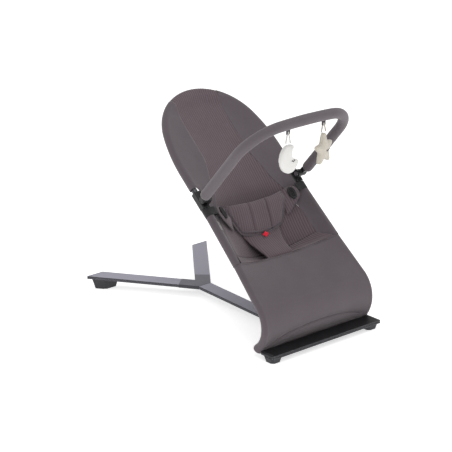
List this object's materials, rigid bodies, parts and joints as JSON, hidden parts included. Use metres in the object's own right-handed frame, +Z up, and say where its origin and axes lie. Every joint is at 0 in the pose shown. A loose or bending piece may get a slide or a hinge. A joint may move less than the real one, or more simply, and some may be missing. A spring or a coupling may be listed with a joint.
{
  "type": "baby bouncer seat",
  "caption": "Reclining fabric baby bouncer: a tube-framed sling seat on a low Y-shaped base, with a soft harness and a padded toy arch carrying a plush moon and star.",
  "frame": {"origin": "On the floor under the middle of the base's footprint.", "axes": "+X across the seat to the side of the star toy, +Y to the head end, +Z up."},
  "size_m": [0.452, 0.77, 0.6335],
  "materials": {
    "bar_black": "satin black powder coat on an aluminium extrusion",
    "arm_grey": "dark violet-grey anodised extrusion, fine matt grain",
    "hub_grey": "dark grey textured paint on a casting",
    "foot_grey": "moulded charcoal plastic with a fine texture",
    "black_plastic": "moulded black plastic, slightly glossy on its edges",
    "steel": "zinc-plated steel",
    "frame_tube": "drawn aluminium tube",
    "plain_fabric": "plain cotton weave, warm slate grey",
    "rib_mesh": "ribbed mesh, pinkish grey with darker ribs",
    "label_fabric": "pale woven label, blank",
    "tag_red": "plain red woven tag",
    "webbing": "black woven webbing",
    "arch_fabric": "tight grey jersey over foam",
    "moon_fabric": "soft white velour with two stitched closed eyes",
    "star_fabric": "soft beige velour with two stitched closed eyes",
    "ribbon_fabric": "pale satin ribbon"
  },
  "bodies": {
    "base": {"front_crossbar": "bar_black", "crossbar_caps": "black_plastic", "front_foot_left": "foot_grey", "front_foot_right": "foot_grey", "spine": "arm_grey", "spine_wedge": "hub_grey", "arm_hub": "hub_grey", "hub_screws": "steel", "rear_arm_left": "arm_grey", "rear_arm_right": "arm_grey", "arm_caps": "black_plastic", "rear_foot_left": "foot_grey", "rear_foot_right": "foot_grey", "base_screws": "steel", "hinge_bearing_left": "black_plastic", "hinge_bearing_right": "black_plastic", "lock_bracket": "steel", "plunger_sleeve": "steel", "plunger_spring": "steel"},
    "recline_shaft": {"hinge_tube": "frame_tube", "recline_sector": "steel"},
    "lock_pin": {"plunger_pin": "steel", "plunger_knob": "black_plastic"},
    "seat": {"corner_elbow_left": "black_plastic", "corner_elbow_right": "black_plastic", "lower_tube_left": "frame_tube", "lower_tube_right": "frame_tube", "upper_tube": "frame_tube", "tube_coupler_left": "black_plastic", "tube_coupler_right": "black_plastic", "coupler_screws": "steel", "centre_panel": "rib_mesh", "side_panel_left": "plain_fabric", "side_panel_right": "plain_fabric", "pocket_front": "rib_mesh", "apron": "plain_fabric", "apron_foot": "plain_fabric", "apron_hem": "plain_fabric", "lower_sleeve_left": "plain_fabric", "lower_sleeve_right": "plain_fabric", "upper_sleeve": "plain_fabric", "care_label": "label_fabric", "harness_flap": "rib_mesh", "crotch_strap": "rib_mesh", "harness_wings": "plain_fabric", "toggle_left": "black_plastic", "toggle_right": "black_plastic", "side_strap_left": "webbing", "side_strap_right": "webbing", "harness_tag": "tag_red"},
    "toy_bar": {"arch_tube": "frame_tube", "arch_sleeve": "arch_fabric", "arch_fitting_left": "black_plastic", "arch_fitting_right": "black_plastic", "arch_pins": "black_plastic", "toy_tabs": "webbing"},
    "moon": {"moon_plush": "moon_fabric", "moon_ribbon": "ribbon_fabric"},
    "star": {"star_plush": "star_fabric", "star_ribbon": "ribbon_fabric"}
  },
  "joints": [
    {"name": "seat_recline", "type": "hinge", "parent": "base", "child": "recline_shaft", "pos_m": [0, -0.317, 0.025], "axis": [-1, 0, 0], "range_deg": [0, 35]},
    {"name": "seat_bounce", "type": "hinge", "parent": "recline_shaft", "child": "seat", "pos_m": [0, -0.317, 0.025], "axis": [-1, 0, 0], "range_deg": [-4, 4], "stiffness_Nm_per_rad": 180},
    {"name": "toy_bar_tilt", "type": "hinge", "parent": "seat", "child": "toy_bar", "pos_m": [0, -0.08051, 0.38243], "axis": [1, 0, 0], "range_deg": [-40, 45]},
    {"name": "moon_swing", "type": "hinge", "parent": "toy_bar", "child": "moon", "pos_m": [-0.064, -0.28676, 0.59602], "axis": [1, 0, 0], "range_deg": [-80, 80]},
    {"name": "star_swing", "type": "hinge", "parent": "toy_bar", "child": "star", "pos_m": [0.064, -0.28676, 0.59602], "axis": [1, 0, 0], "range_deg": [-80, 80]},
    {"name": "lock_pull", "type": "slide", "parent": "base", "child": "lock_pin", "axis": [-1, 0, 0], "range_m": [0, 0.008], "stiffness_N_per_m": 900, "springref_m": -0.003, "deforming": ["plunger_spring"]}
  ]
}
